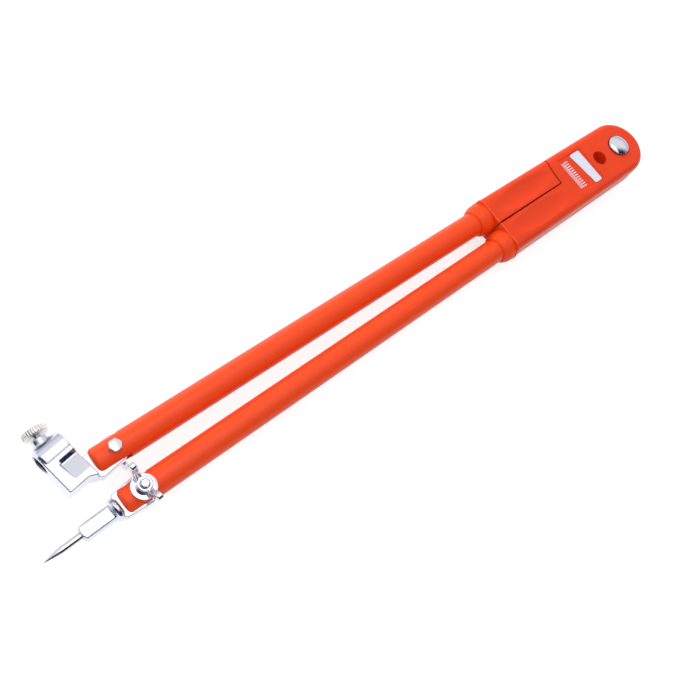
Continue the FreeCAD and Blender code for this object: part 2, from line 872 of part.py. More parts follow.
def screw_neck(body):
    neck = box_points((0, 0), (neck_height, neck_radius))
    spin(body, screw_sketch(body, "neck", neck), "H_Axis")
    foot = FreeCAD.Vector(screw_along.value, -bore_out.value, 0)
    lean = math.radians(screw_lean_angle.value)
    axis = FreeCAD.Vector(-math.sin(lean), -math.cos(lean), 0)

    def is_neck_root(edge):
        if edge.Degenerated:
            return False
        for point in edge.discretize(edge_samples):
            along = (point - foot).dot(axis)
            radius = (point - foot - axis * along).Length
            if abs(radius - neck_radius.value) > close_enough or along > neck_height.value - close_enough:
                return False
        return True

    soften(body, "Fillet", "neck_flare", neck_flare, is_neck_root)


def pencil_holder():
    body = new_body("pencil_holder")
    holder_block(body)
    screw_neck(body)
    recessed_face(body)
    half, end = holder_tongue_half, holder_tongue_end
    tongue = [
        (-half, 0, half),
        (0, -half),
        (end, -half),
        (end, half - holder_tongue_cut),
        (holder_tongue_corner, half),
        (0, half, half),
    ]
    pad(body, outline_sketch(body, "XY_Plane", "tongue", tongue), tongue_thickness, both_ways=True)
    bore = box_points((holder_start - overrun, 0), (holder_mouth + overrun, pencil_bore_radius))
    spin(body, outline_sketch(body, "XY_Plane", "bore", bore, shift=(0, -bore_out)), "H_Axis", cuts=True)
    thread = box_points((0, 0), (neck_height + overrun, screw_radius + running_clearance))
    spin(body, screw_sketch(body, "thread", thread), "H_Axis", cuts=True)
    pin_hole = circle_sketch(body, "XY_Plane", "pin_hole", (0, 0), [pencil_bolt_radius + running_clearance])
    pocket(body, pin_hole, tongue_thickness + overrun, both_ways=True)
    return place_in_holder(body)


def place_on_screw(body):
    """Stand a body on the thumb screw's axis, with its Z outwards from the pencil bore."""
    place_in_holder(body)
    lean = math.radians(screw_lean_angle.value)
    outwards = FreeCAD.Vector(-math.sin(lean), -math.cos(lean), 0)
    upright = FreeCAD.Rotation(FreeCAD.Vector(0, 0, 1), outwards)
    foot = FreeCAD.Vector(screw_along.value, -bore_out.value, 0)
    body.Placement = body.Placement.multiply(FreeCAD.Placement(foot, upright))
    return body


def clamp_screw():
    body = new_body("clamp_screw")
    tip = pencil_bore_radius + screw_tip_gap
    top = neck_height + knob_gap + knob_seat
    pad(body, circle_sketch(body, "XY_Plane", "shank", (0, 0), [screw_radius], lift=tip), top - tip)
    chamfer = screw_radius * end_chamfer_share
    soften(body, "Chamfer", "tip_chamfer", chamfer, lambda edge: lies_at(edge, "Z", tip))
    return place_on_screw(body)


def thumb_knob():
    body = new_body("thumb_knob")
    under = neck_height + knob_gap
    top = under + knob_thickness
    blind = under + knob_seat + face_clearance
    hole = screw_radius + running_clearance
    rim = knob_radius - knob_rim_round
    profile = [
        (0, blind),
        (hole, blind),
        (hole, under),
        (rim, under, knob_rim_round),
        (knob_radius, under + knob_rim_round),
        (knob_radius, top - knob_rim_round, knob_rim_round),
        (rim, top),
        (0, top),
    ]
    spin(body, outline_sketch(body, "XZ_Plane", "profile", profile), "V_Axis")
    centre = (knob_radius + knurl_radius * knurl_centre_share, 0)
    notch = circle_sketch(body, "XY_Plane", "knurl", centre, [knurl_radius], lift=top)
    groove = pocket(body, notch, knob_thickness + overrun)
    knurl = body.newObject("PartDesign::PolarPattern", "thumb_knob_knurl_pattern")
    knurl.Originals = [groove]
    z_axis = [feature for feature in body.Origin.OriginFeatures if feature.Role == "Z_Axis"][0]
    knurl.Axis = (z_axis, [""])
    knurl.Angle = full_turn
    knurl.Occurrences = knurl_count
    body.Tip = knurl
    doc.recompute()
    return place_on_screw(body)


head_half("front_head", True)
head_half("rear_head", False)
badge_plate()
hinge_rivet()
hinge_washers()
tube_leg("right_tube", -1, needle_bolt_radius, socket_tongue_half)
tube_leg("left_tube", 1, pencil_bolt_radius, holder_tongue_half)
needle_knee()
needle_socket()
needle()
needle_grub_screw()
pencil_knee()
pencil_holder()
clamp_screw()
thumb_knob()
doc.recompute()

for item in doc.Objects:
    if "Invalid" in item.State or "Error" in item.State:
        raise RuntimeError(f"{item.Name} failed: {item.State}")
bodies = [item for item in doc.Objects if item.TypeId == "PartDesign::Body"]
for body in bodies:
    shape = body.Shape
    if shape.isNull() or not shape.isValid() or len(shape.Solids) != 1:
        raise RuntimeError(f"{body.Label} is not one valid solid")
for body in bodies:
    body.Shape.exportStep(f"parts/{body.Label}.step")
    print(f"{body.Label}: {body.Shape.Volume:.1f} cubic mm")
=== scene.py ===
import json
import math

import bmesh
import bpy
from mathutils import Matrix, Vector


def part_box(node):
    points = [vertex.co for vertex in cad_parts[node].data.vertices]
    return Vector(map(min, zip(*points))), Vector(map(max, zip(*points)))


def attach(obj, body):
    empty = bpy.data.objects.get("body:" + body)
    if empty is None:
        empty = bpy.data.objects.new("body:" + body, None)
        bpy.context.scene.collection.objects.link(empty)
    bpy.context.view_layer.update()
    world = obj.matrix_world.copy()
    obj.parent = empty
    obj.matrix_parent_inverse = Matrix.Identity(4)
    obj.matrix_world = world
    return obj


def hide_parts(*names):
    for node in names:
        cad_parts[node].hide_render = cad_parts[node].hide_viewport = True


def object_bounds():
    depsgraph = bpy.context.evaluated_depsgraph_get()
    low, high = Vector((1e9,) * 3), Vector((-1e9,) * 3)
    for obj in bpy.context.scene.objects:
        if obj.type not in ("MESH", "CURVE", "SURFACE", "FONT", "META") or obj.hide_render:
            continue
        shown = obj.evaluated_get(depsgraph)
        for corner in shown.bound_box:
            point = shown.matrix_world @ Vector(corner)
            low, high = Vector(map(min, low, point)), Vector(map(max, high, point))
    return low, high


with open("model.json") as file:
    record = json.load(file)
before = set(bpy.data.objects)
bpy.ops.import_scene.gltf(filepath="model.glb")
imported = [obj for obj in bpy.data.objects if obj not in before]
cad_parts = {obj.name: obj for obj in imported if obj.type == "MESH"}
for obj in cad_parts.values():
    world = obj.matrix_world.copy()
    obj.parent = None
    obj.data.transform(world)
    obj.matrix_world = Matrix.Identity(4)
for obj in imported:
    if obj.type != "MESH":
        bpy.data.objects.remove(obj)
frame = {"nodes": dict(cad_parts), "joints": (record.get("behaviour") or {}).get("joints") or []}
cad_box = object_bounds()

bl_info = {
    "name": "Hinged carpenter's compass",
    "version": (1, 0, 0),
    "blender": (4, 5, 0),
    "location": "View3D > Sidebar > Compass",
    "description": "Dresses the compass frame with its finishes, hardware details, studio and camera",
    "category": "Object",
}

MM = 0.001
FULL_TURN = math.radians(360)
HALF_TURN = math.radians(180)
WHITE = (1.0, 1.0, 1.0, 1.0)

# places that the frame gives
JOINTS = {joint["name"]: joint for joint in frame["joints"]}
HINGE = Vector(JOINTS["leg_hinge"]["pos_m"])
NEEDLE_KNEE = Vector(JOINTS["needle_knee"]["pos_m"])
PENCIL_KNEE = Vector(JOINTS["pencil_knee"]["pos_m"])
SCREW_FOOT = Vector(JOINTS["knob_turn"]["pos_m"])
SCREW_AXIS = Vector(JOINTS["knob_turn"]["axis"])
TUBE_LOW, TUBE_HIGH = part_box("left_tube")
TUBE_RADIUS = (TUBE_HIGH.z - TUBE_LOW.z) / 2
HEAD_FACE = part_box("front_head")[1].z

# how finely the pieces are made
MERGE_DISTANCE = 0.001 * MM
SHARP_EDGE = math.radians(35)
WASHER_STEPS = 96
BOLT_STEPS = 64
EAR_STEPS = 6


def length(name, description, millimetres):
    return bpy.props.FloatProperty(
        name=name, description=description, default=millimetres * MM, unit="LENGTH", precision=5
    )


def metres(name, description, default):
    return bpy.props.FloatVectorProperty(
        name=name, description=description, default=default, size=len(default), unit="LENGTH", precision=5
    )


def angle(name, description, degrees):
    return bpy.props.FloatProperty(
        name=name, description=description, default=math.radians(degrees), unit="ROTATION"
    )


def share(name, description, default):
    return bpy.props.FloatProperty(name=name, description=description, default=default, subtype="FACTOR")


def power(name, description, watts):
    return bpy.props.FloatProperty(name=name, description=description, default=watts, unit="POWER")


def count(name, description, default):
    return bpy.props.IntProperty(name=name, description=description, default=default)


def colour(name, description, default):
    return bpy.props.FloatVectorProperty(
        name=name, description=description, default=default, subtype="COLOR", size=3, min=0, max=1
    )


class CompassHardwareSizes(bpy.types.PropertyGroup):
    """Sizes of the knees' bolts, washers and wing nuts."""

    needle_bolt_radius: length("Needle bolt radius", "Half of the M4 thread's diameter", 2.0)
    needle_bolt_flats: length("Needle bolt flats", "Width of its hexagon across the flats", 7.0)
    needle_bolt_head: length("Needle bolt head", "Height of its hexagon", 2.8)
    needle_thread_pitch: length("Needle bolt pitch", "Distance between two threads", 0.7)
    pencil_bolt_radius: length("Pencil bolt radius", "Half of the M3 thread's diameter", 1.5)
    pencil_bolt_flats: length("Pencil bolt flats", "Width of its hexagon across the flats", 5.5)
    pencil_bolt_head: length("Pencil bolt head", "Height of its hexagon", 2.2)
    pencil_thread_pitch: length("Pencil bolt pitch", "Distance between two threads", 0.5)
    thread_clearance: length("Thread clearance", "Space between a bolt and the hole round it", 0.05)
    needle_nut_hub_radius: length("Needle nut hub radius", "Foot of the wing nut's hub", 3.9)
    needle_nut_hub_height: length("Needle nut hub height", "Height of the wing nut's hub", 4.4)
    needle_nut_reach: length("Needle nut reach", "From the bolt's axis to an ear's tip", 10.1)
    needle_nut_height: length("Needle nut height", "Height of the ears", 9.6)
    needle_nut_web: length("Needle nut web", "Thickness of the ears", 3.0)
    needle_nut_ear: length("Needle nut ear", "Radius of an ear's round end", 1.9)
    needle_nut_turn: angle("Needle nut turn", "Direction of its ears about +Z", 96.6)
    pencil_nut_hub_radius: length("Pencil nut hub radius", "Foot of the wing nut's hub", 3.1)
    pencil_nut_hub_height: length("Pencil nut hub height", "Height of the wing nut's hub", 3.6)
    pencil_nut_reach: length("Pencil nut reach", "From the bolt's axis to an ear's tip", 8.3)
    pencil_nut_height: length("Pencil nut height", "Height of the ears", 8.2)
    pencil_nut_web: length("Pencil nut web", "Thickness of the ears", 2.5)
    pencil_nut_ear: length("Pencil nut ear", "Radius of an ear's round end", 1.6)
    pencil_nut_turn: angle("Pencil nut turn", "Direction of its ears about +Z", -63.0)
    voxel: length("Casting grain", "Voxel size that melts the wing nuts' shells together", 0.13)
    polish: count("Casting polish", "Smoothing passes over a melted wing nut", 3)
    washer_round: length("Washer edge", "Rounding of a stamped washer's edges", 0.2)


class CompassScrewSizes(bpy.types.PropertyGroup):
    """Sizes of the thumb screw's threaded shank."""

    radius: length("Screw radius", "Outside radius of the thread", 2.0)
    pitch: length("Screw pitch", "Distance between two threads", 0.7)
    tip: length("Screw tip", "From the pencil bore's axis to the screw's tip", 5.1)
    top: length("Screw top", "From the pencil bore's axis to the shank's end in the knob", 12.65)


class CompassLabelSizes(bpy.types.PropertyGroup):
    """Sizes of the plain scale printed in the head's recess."""

    floor_depth: length("Recess depth", "From the head's face to the recess floor", 0.25)
    ink: length("Ink thickness", "How far the print stands off the floor", 0.03)
    line_at: length("Line", "From the hinge axis to the scale's long line", 41.3)
    line_length: length("Line length", "Length of the scale across the head", 17.6)
    line_width: length("Line width", "Width of the long line", 0.4)
    tick_gap: length("Tick gap", "Space between the long line and the ticks", 0.15)
    long_tick: length("Long tick", "Length of the large row's ticks", 3.0)
    long_width: length("Long tick width", "Width of the large row's ticks", 0.62)
    long_count: count("Long ticks", "Ticks in the large row", 12)
    short_tick: length("Short tick", "Length of the small row's ticks", 1.5)
    short_width: length("Short tick width", "Width of the small row's ticks", 0.36)
    short_count: count("Short ticks", "Ticks in the small row", 23)


class CompassRibSizes(bpy.types.PropertyGroup):
    """Sizes of the moulded rib round each handle's end."""

    end: length("Handle end", "From the hinge axis to the handle's end", 103.0)
    width: length("Rib width", "Width of the rib along the handle", 0.9)
    set_back_share: share("Rib set-back", "From the handle's end to the rib, as a share of its width", 0.25)
    height: length("Rib height", "How far the rib stands off the handle", 0.25)
    thickness: length("Rib thickness", "Thickness of the rib's shell", 0.45)
    hollow: length("Hollow", "Distance from the tube's axis within which the rib has no skin", 7.4)


class CompassColours(bpy.types.PropertyGroup):
    """Colours of the finishes."""

    head: colour("Head plastic", "Moulded orange-red plastic", (0.83, 0.051, 0.007))
    tube: colour("Tube coating", "Orange-red powder coat", (0.93, 0.066, 0.006))
    chrome: colour("Chrome", "Bright plate of the castings and the rivet", (0.7, 0.71, 0.79))
    zinc: colour("Zinc plate", "Plated bolts, nuts and washers", (0.75, 0.75, 0.81))
    nickel: colour("Nickel", "Dull plate of the thumb knob", (0.82, 0.8, 0.76))
    steel: colour("Needle steel", "Ground hardened steel", (0.7, 0.68, 0.7))
    blackened: colour("Blackened steel", "Grub screw", (0.03, 0.03, 0.033))
    film: colour("White film", "Badge and print", (0.76, 0.76, 0.88))
    nylon: colour("Nylon", "Friction washer", (0.72, 0.7, 0.64))


class CompassStudio(bpy.types.PropertyGroup):
    """Camera, floor and the room that metal sees."""

    camera_place: metres("Camera place", "Where the camera stands", (-0.40299, -0.07327, 0.40816))
    camera_turn: bpy.props.FloatVectorProperty(
        name="Camera turn", description="The camera's XYZ turn", size=3, subtype="EULER",
        default=(math.radians(23.816), math.radians(-15.937), math.radians(-39.219)),
    )
    lens: bpy.props.FloatProperty(name="Lens", description="Focal length in millimetres", default=49.58)
    sensor: bpy.props.FloatProperty(name="Sensor", description="Sensor width in millimetres", default=36.0)
    nearest: length("Nearest", "Distance at which the camera starts to see", 10)
    floor_width: length("Floor width", "Side of the square floor", 6000)
    floor_gap: length("Floor gap", "Space left between the compass and the floor", 0.1)
    floor_colour: colour("Floor colour", "Matt paper of the floor", (0.55, 0.56, 0.56))
    floor_glow: share("Floor glow", "Light that lifts the floor towards white for the camera", 0.66)
    world_light: share("World light", "Strength of the light from all round", 0.37)
    wall_side: bpy.props.FloatVectorProperty(
        name="Wall side", description="Direction in which metal sees the pale walls", size=3,
        default=(0.5, 0.86, 0.1),
    )
    wall_start: bpy.props.FloatProperty(
        name="Wall start", description="Nearness to the walls' direction at which the dark room ends",
        default=-0.2,
    )
    wall_full: share("Wall full", "Nearness to the walls' direction at which they are full", 0.25)
    wall_foot: share("Wall foot", "Sine of the elevation up to which the walls have the low colour", 0.1)
    wall_head: share("Wall head", "Sine of the elevation from which they have the high colour", 0.6)
    wall_low: colour("Low wall", "The pale walls near the floor", (0.6, 0.63, 0.78))
    wall_high: colour("High wall", "The pale walls near the ceiling", (1.0, 1.0, 1.0))
    dark_room: colour("Dark room", "The room behind the camera", (0.02, 0.03, 0.07))
    sweep_top: share("Floor sweep", "Sine of the elevation up to which the floor's paper rises", 0.06)


class CompassLamps(bpy.types.PropertyGroup):
    """Soft lamps; metal sees only the soft box, as a bright panel above the legs' ends."""

    aim: metres("Lamps' aim", "Place on the legs that the lamps point at", (-0.15, 0, 0.01))
    side_place: metres("Side lamp place", "Far out on the pencil leg's side", (-0.15, 1.0, 0.2))
    side_size: metres("Side lamp size", "Width and height of the lamp", (1.4, 0.45))
    side_power: power("Side lamp power", "Power of the large side lamp", 9.0)
    top_place: metres("Top lamp place", "Overhead, on the pencil leg's side", (-0.25, 0.26, 0.95))
    top_size: metres("Top lamp size", "Width and height of the lamp", (2.0, 0.6))
    top_power: power("Top lamp power", "Power of the lamp overhead", 3.2)
    strip_place: metres("Strip lamp place", "Overhead, on the needle leg's side", (-0.1, -0.42, 0.92))
    strip_size: metres("Strip lamp size", "Width and height of the lamp", (1.8, 0.45))
    strip_power: power("Strip lamp power", "Power of the lamp on the needle leg's side", 2.4)
    box_aim: metres("Soft box's aim", "Place at the legs' ends that the soft box points at", (-0.26, 0, 0))
    box_place: metres("Soft box place", "Above the legs' ends", (-0.26, 0, 0.95))
    box_size: metres("Soft box size", "Width and height of the lamp", (0.55, 1.1))
    box_power: power("Soft box power", "Power of the lamp that metal sees", 2.25)


GROUPS = {
    "compass_hardware": CompassHardwareSizes,
    "compass_screw": CompassScrewSizes,
    "compass_label": CompassLabelSizes,
    "compass_ribs": CompassRibSizes,
    "compass_colours": CompassColours,
    "compass_studio": CompassStudio,
    "compass_lamps": CompassLamps,
}


# mesh helpers
def finish_mesh(shape, name, place):
    """Turn a bmesh into an object at the origin, with its place in its mesh and its normals outwards."""
    bmesh.ops.transform(shape, matrix=place, verts=shape.verts)
    bmesh.ops.recalc_face_normals(shape, faces=shape.faces)
    for face in shape.faces:
        face.smooth = True
    for edge in shape.edges:
        if len(edge.link_faces) == 2 and edge.calc_face_angle(0) > SHARP_EDGE:
            edge.smooth = False
    mesh = bpy.data.meshes.new(name)
    shape.to_mesh(mesh)
    shape.free()
    piece = bpy.data.objects.new(name, mesh)
    bpy.context.scene.collection.objects.link(piece)
    return piece


def spin_profile(shape, points, steps):
    """Spin a profile of (radius, height) points about Z, closing it at the poles."""
    corners = [shape.verts.new((radius, 0, height)) for radius, height in points]
    edges = [shape.edges.new(pair) for pair in zip(corners, corners[1:])]
    bmesh.ops.spin(
        shape, geom=corners + edges, cent=(0, 0, 0), axis=(0, 0, 1), angle=FULL_TURN, steps=steps,
        use_merge=True,
    )
    bmesh.ops.remove_doubles(shape, verts=shape.verts, dist=MERGE_DISTANCE)


def arc_points(centre, radius, start, stop, steps=4):
    """Points on an arc between two directions given in degrees."""
    turns = [math.radians(start + (stop - start) * step / steps) for step in range(steps + 1)]
    return [(centre[0] + radius * math.cos(turn), centre[1] + radius * math.sin(turn)) for turn in turns]


def bend_points(start, stop, radius, steps=12):
    """Points on the arc from start to stop, bulging to the right of the way for a positive radius."""
    start, stop = Vector(start), Vector(stop)
    chord = stop - start
    side = Vector((-chord.y, chord.x)).normalized() * math.copysign(1, radius)
    centre = (start + stop) / 2 + side * math.sqrt(radius * radius - chord.length_squared / 4)
    spoke = start - centre
    turn = math.copysign(2 * math.asin(chord.length / 2 / abs(radius)), radius)
    points = []
    for step in range(steps + 1):
        part = turn * step / steps
        points.append((
            centre.x + spoke.x * math.cos(part) - spoke.y * math.sin(part),
            centre.y + spoke.x * math.sin(part) + spoke.y * math.cos(part),
        ))
    return points


def extrude_outline(shape, points, depth, rounding, segments=3):
    """A plate between Z = -depth / 2 and depth / 2 with its rim rounded."""
    corners = [shape.verts.new((x, y, -depth / 2)) for x, y in points]
    base = shape.faces.new(corners)
    grown = bmesh.ops.extrude_face_region(shape, geom=[base])["geom"]
    lid = [item for item in grown if isinstance(item, bmesh.types.BMVert)]
    bmesh.ops.translate(shape, verts=lid, vec=(0, 0, depth))
    rim = set(base.edges)
    for item in grown:
        if isinstance(item, bmesh.types.BMFace):
            rim.update(item.edges)
    bmesh.ops.bevel(
        shape, geom=list(rim), offset=rounding, offset_type="OFFSET", segments=segments, profile=0.5,
        affect="EDGES", material=-1, clamp_overlap=True,
    )


def settle(piece):
    """Apply a piece's modifiers to its mesh."""
    graph = bpy.context.evaluated_depsgraph_get()
    mesh = bpy.data.meshes.new_from_object(piece.evaluated_get(graph))
    piece.modifiers.clear()
    piece.data = mesh
    return piece


def show_as(piece, body, slot, material, *nodes):
    """Let a finished piece ride on a body and stand for CAD nodes."""
    piece.data.materials.clear()
    piece.data.materials.append(material)
    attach(piece, body)
    if nodes:
        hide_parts(*nodes)
    return piece


def dress(node_name, material):
    """Give a CAD node a better material."""
    node = frame["nodes"][node_name]
    for material_slot in node.material_slots:
        material_slot.link = "OBJECT"
        material_slot.material = material


# shading helpers
def rgba(tint, gain=1.0):
    return (*[min(1.0, channel * gain) for channel in tint], 1.0)


class Shading:
    """The node tree of a material or the world, with short ways to add what they share."""

    def __init__(self, owner):
        owner.use_nodes = True
        self.tree = owner.node_tree
        self.tree.nodes.clear()

    def add(self, kind, **settings):
        node = self.tree.nodes.new(kind)
        for name, value in settings.items():
            setattr(node, name, value)
        return node

    def fill(self, socket, value):
        """Link a socket to another one, or set it to a plain value."""
        if isinstance(value, bpy.types.NodeSocket):
            self.tree.links.new(value, socket)
        else:
            socket.default_value = value

    def ranged(self, value, start, stop, low=0.0, high=1.0, way="LINEAR"):
        """The stretch from start to stop, laid from low to high."""
        node = self.add("ShaderNodeMapRange", interpolation_type=way)
        for name, number in (
            ("Value", value), ("From Min", start), ("From Max", stop), ("To Min", low), ("To Max", high),
        ):
            self.fill(node.inputs[name], number)
        return node.outputs["Result"]

    def soft_step(self, value, start, stop):
        """0 up to start and 1 from stop on, with a soft rise between them."""
        return self.ranged(value, start, stop, way="SMOOTHSTEP")

    def mixed(self, factor, first, second):
        """The first colour at factor 0 and the second at factor 1."""
        node = self.add("ShaderNodeMix", data_type="RGBA")
        self.fill(node.inputs[0], factor)
        self.fill(node.inputs[6], first)
        self.fill(node.inputs[7], second)
        return node.outputs[2]

    def math(self, operation, first, second):
        node = self.add("ShaderNodeMath", operation=operation)
        self.fill(node.inputs[0], first)
        self.fill(node.inputs[1], second)
        return node.outputs[0]

    def dot(self, first, second):
        node = self.add("ShaderNodeVectorMath", operation="DOT_PRODUCT")
        self.fill(node.inputs[0], first)
        self.fill(node.inputs[1], second)
        return node.outputs["Value"]

    def parts(self, vector):
        node = self.add("ShaderNodeSeparateXYZ")
        self.fill(node.inputs["Vector"], vector)
        return node.outputs

    def white_to_camera(self, seen, unseen):
        """Show one shader to the camera and to mirror-like rays, and the other to the rest."""
        path = self.add("ShaderNodeLightPath")
        total = path.outputs["Is Camera Ray"]
        for ray in ("Is Glossy Ray", "Is Transmission Ray"):
            total = self.math("MAXIMUM", total, path.outputs[ray])
        mix = self.add("ShaderNodeMixShader")
        self.fill(mix.inputs["Fac"], total)
        self.fill(mix.inputs[1], unseen)
        self.fill(mix.inputs[2], seen)
        return mix.outputs["Shader"]


class Finish(Shading):
    """A finish's material, whose colour, gloss and skin vary over the piece."""

    def __init__(self, name, specular=0.5, metallic=0.0):
        self.material = bpy.data.materials.new(name)
        super().__init__(self.material)
        self.shader = self.add("ShaderNodeBsdfPrincipled")
        output = self.add("ShaderNodeOutputMaterial")
        self.fill(output.inputs["Surface"], self.shader.outputs["BSDF"])
        self.fill(self.shader.inputs["Specular IOR Level"], specular)
        self.fill(self.shader.inputs["Metallic"], metallic)
        self.place = self.add("ShaderNodeTexCoord").outputs["Object"]

    def set(self, **values):
        """Fill the shader's sockets, named in small letters with underscores."""
        for name, value in values.items():
            self.fill(self.shader.inputs[name.replace("_", " ").title()], value)

    def stretched(self, scale):
        mapping = self.add("ShaderNodeMapping")
        self.fill(mapping.inputs["Vector"], self.place)
        self.fill(mapping.inputs["Scale"], scale)
        return mapping.outputs["Vector"]

    def noise(self, per_metre, detail=3.0, rough=0.5, place=None):
        node = self.add("ShaderNodeTexNoise")
        self.fill(node.inputs["Vector"], place or self.place)
        self.fill(node.inputs["Scale"], per_metre)
        self.fill(node.inputs["Detail"], detail)
        self.fill(node.inputs["Roughness"], rough)
        return node.outputs["Fac"]

    def spread(self, noise, low=0.0, high=1.0):
        """A noise, which mostly lies between 0.3 and 0.7, spread from low to high."""
        return self.ranged(noise, 0.3, 0.7, low, high)

    def drifted(self, factor, tint, darker, lighter):
        """A tint that drifts between two gains."""
        return self.mixed(factor, rgba(tint, darker), rgba(tint, lighter))

    def rounded(self, radius):
        """A normal that rounds every edge by this radius."""
        node = self.add("ShaderNodeBevel", samples=6)
        self.fill(node.inputs["Radius"], radius)
        return node.outputs["Normal"]

    def edges(self, rounded_normal):
        """1 on the edges and 0 on flat places, from how far the rounding turns the normal."""
        flat_cosine = 0.995
        edge_cosine = 0.9
        turned = self.dot(self.add("ShaderNodeNewGeometry").outputs["Normal"], rounded_normal)
        return self.ranged(turned, flat_cosine, edge_cosine)

    def bumped(self, height, strength, depth, normal=None):
        node = self.add("ShaderNodeBump")
        self.fill(node.inputs["Height"], height)
        self.fill(node.inputs["Strength"], strength)
        self.fill(node.inputs["Distance"], depth)
        if normal:
            self.fill(node.inputs["Normal"], normal)
        return node.outputs["Normal"]


# finishes
def finish_of(slot):
    """Make a slot's finish the first time that it is asked for, beside the frame's plain material."""
    name = f"{slot}_finish"
    ready = bpy.data.materials.get(name)
    return ready if ready else FINISHES[slot](name, bpy.context.scene.compass_colours)


def moulded_plastic(name, colours):
    """Satin moulded plastic: fine grain, faint flow marks, edges darkened in patches as painted shade,
    collars in the tubes' colour.
    """
    plastic = Finish(name, specular=0.25)
    rounded = plastic.rounded(0.8 * MM)
    flow = plastic.noise(per_metre=38, detail=2.0, place=plastic.stretched((1, 2.5, 1)))
    tint = plastic.drifted(plastic.spread(flow), colours.head, darker=0.94, lighter=1.05)
    # painted shade: the edges darken in patches towards a darker head colour, as if their lips sank into
    # shade
    edge_shade_patches = plastic.ranged(plastic.noise(per_metre=260), 0.45, 0.75, low=0, high=0.3)
    edge_shaded = plastic.mixed(
        plastic.math("MULTIPLY", plastic.edges(rounded), edge_shade_patches), tint, rgba(colours.head, gain=0.7)
    )
    handle_end = HINGE.x - bpy.context.scene.compass_ribs.end
    collar = plastic.ranged(plastic.parts(plastic.place)["X"], handle_end + MM, handle_end - MM)
    grain = plastic.noise(per_metre=3200, detail=2.0)
    plastic.set(
        base_color=plastic.mixed(collar, edge_shaded, rgba(colours.tube)),
        roughness=plastic.spread(plastic.noise(per_metre=900, detail=4.0), 0.3, 0.4),
        normal=plastic.bumped(grain, strength=0.12, depth=0.05 * MM, normal=rounded),
    )
    return plastic.material


def powder_coat(name, colours):
    """Satin powder coat with an orange-peel skin and a tint that drifts along the tube."""
    coat = Finish(name, specular=0.35)
    rounded = coat.rounded(0.3 * MM)
    drift = coat.noise(per_metre=22, detail=2.0, place=coat.stretched((0.3, 1, 1)))
    peel = coat.noise(per_metre=1500, detail=2.0)
    coat.set(
        base_color=coat.drifted(drift, colours.tube, darker=0.95, lighter=1.03),
        roughness=coat.spread(coat.noise(per_metre=700), 0.3, 0.38),
        normal=coat.bumped(peel, strength=0.1, depth=0.06 * MM, normal=rounded),
    )
    return coat.material


def plated(name, tint, edge_radius, gloss, grain, strength, stretch=(1, 1, 1)):
    """Plated metal: a tint that drifts a little, a faint grain and smudged gloss."""
    metal = Finish(name, metallic=1.0)
    rounded = metal.rounded(edge_radius)
    cloud = metal.noise(per_metre=140)
    skin = metal.noise(per_metre=grain, rough=0.6, place=metal.stretched(stretch))
    metal.set(
        base_color=metal.drifted(cloud, tint, darker=0.93, lighter=1.04),
        roughness=metal.spread(metal.noise(per_metre=420, detail=4.0), *gloss),
        normal=metal.bumped(skin, strength, depth=0.02 * MM, normal=rounded),
    )
    return metal.material


def chrome_plate(name, colours):
    return plated(
        name, colours.chrome, edge_radius=1.2 * MM, gloss=(0.05, 0.12), grain=900, strength=0.08
    )


def zinc_plate(name, colours):
    return plated(name, colours.zinc, edge_radius=0.2 * MM, gloss=(0.12, 0.22), grain=2600, strength=0.1)


def dull_nickel(name, colours):
    return plated(name, colours.nickel, edge_radius=0.1 * MM, gloss=(0.3, 0.42), grain=3200, strength=0.4)


def ground_steel(name, colours):
    """Steel whose grinding marks run round the needle."""
    return plated(
        name, colours.steel, edge_radius=0.05 * MM, gloss=(0.14, 0.22), grain=5200, strength=0.2,
        stretch=(4, 1, 1),
    )


def blackened_steel(name, colours):
    return plated(
        name, colours.blackened, edge_radius=0.08 * MM, gloss=(0.35, 0.5), grain=2600, strength=0.4
    )


def white_film(name, colours):
    """Smooth white film with the slightest mottle."""
    film = Finish(name)
    mottle = film.noise(per_metre=500)
    rounded = film.rounded(0.12 * MM)
    film.set(
        base_color=film.drifted(mottle, colours.film, darker=0.96, lighter=1.02),
        roughness=film.spread(mottle, 0.28, 0.4),
        normal=film.bumped(film.noise(per_metre=1800), strength=0.08, depth=0.02 * MM, normal=rounded),
    )
    return film.material


def natural_nylon(name, colours):
    """Waxy nylon of the friction washer."""
    nylon = Finish(name)
    mottle = nylon.noise(per_metre=800)
    nylon.set(
        base_color=nylon.drifted(mottle, colours.nylon, darker=0.95, lighter=1.03),
        roughness=nylon.spread(mottle, 0.5, 0.62),
        normal=nylon.bumped(nylon.noise(per_metre=2400), strength=0.15, depth=0.03 * MM),
    )
    return nylon.material


FINISHES = {
    "head_plastic": moulded_plastic,
    "tube_paint": powder_coat,
    "chrome": chrome_plate,
    "plated_steel": zinc_plate,
    "knob_nickel": dull_nickel,
    "needle_steel": ground_steel,
    "black_steel": blackened_steel,
    "badge": white_film,
    "nylon": natural_nylon,
}


# hardware shapes, each standing on Z = 0, and the shares of its sizes that shape it
def thread_points(radius, pitch, bottom, top):
    """A shank's thread from bottom to top, as a zigzag of (radius, height) points."""
    depth_share = 0.54
    crest_shares = (0.4, 0.6)
    root = radius - pitch * depth_share
    turns = max(1, round((top - bottom) / pitch))
    step = (top - bottom) / turns
    points = []
    for turn in range(turns):
        low = bottom + turn * step
        points.append((root, low))
        points += [(radius, low + step * crest_share) for crest_share in crest_shares]
    return points + [(root, top)]


def tip_radius(radius):
    """Radius of the flat on a threaded end, whose corner is turned off at 45 degrees."""
    tip_share = 0.75
    return radius * tip_share


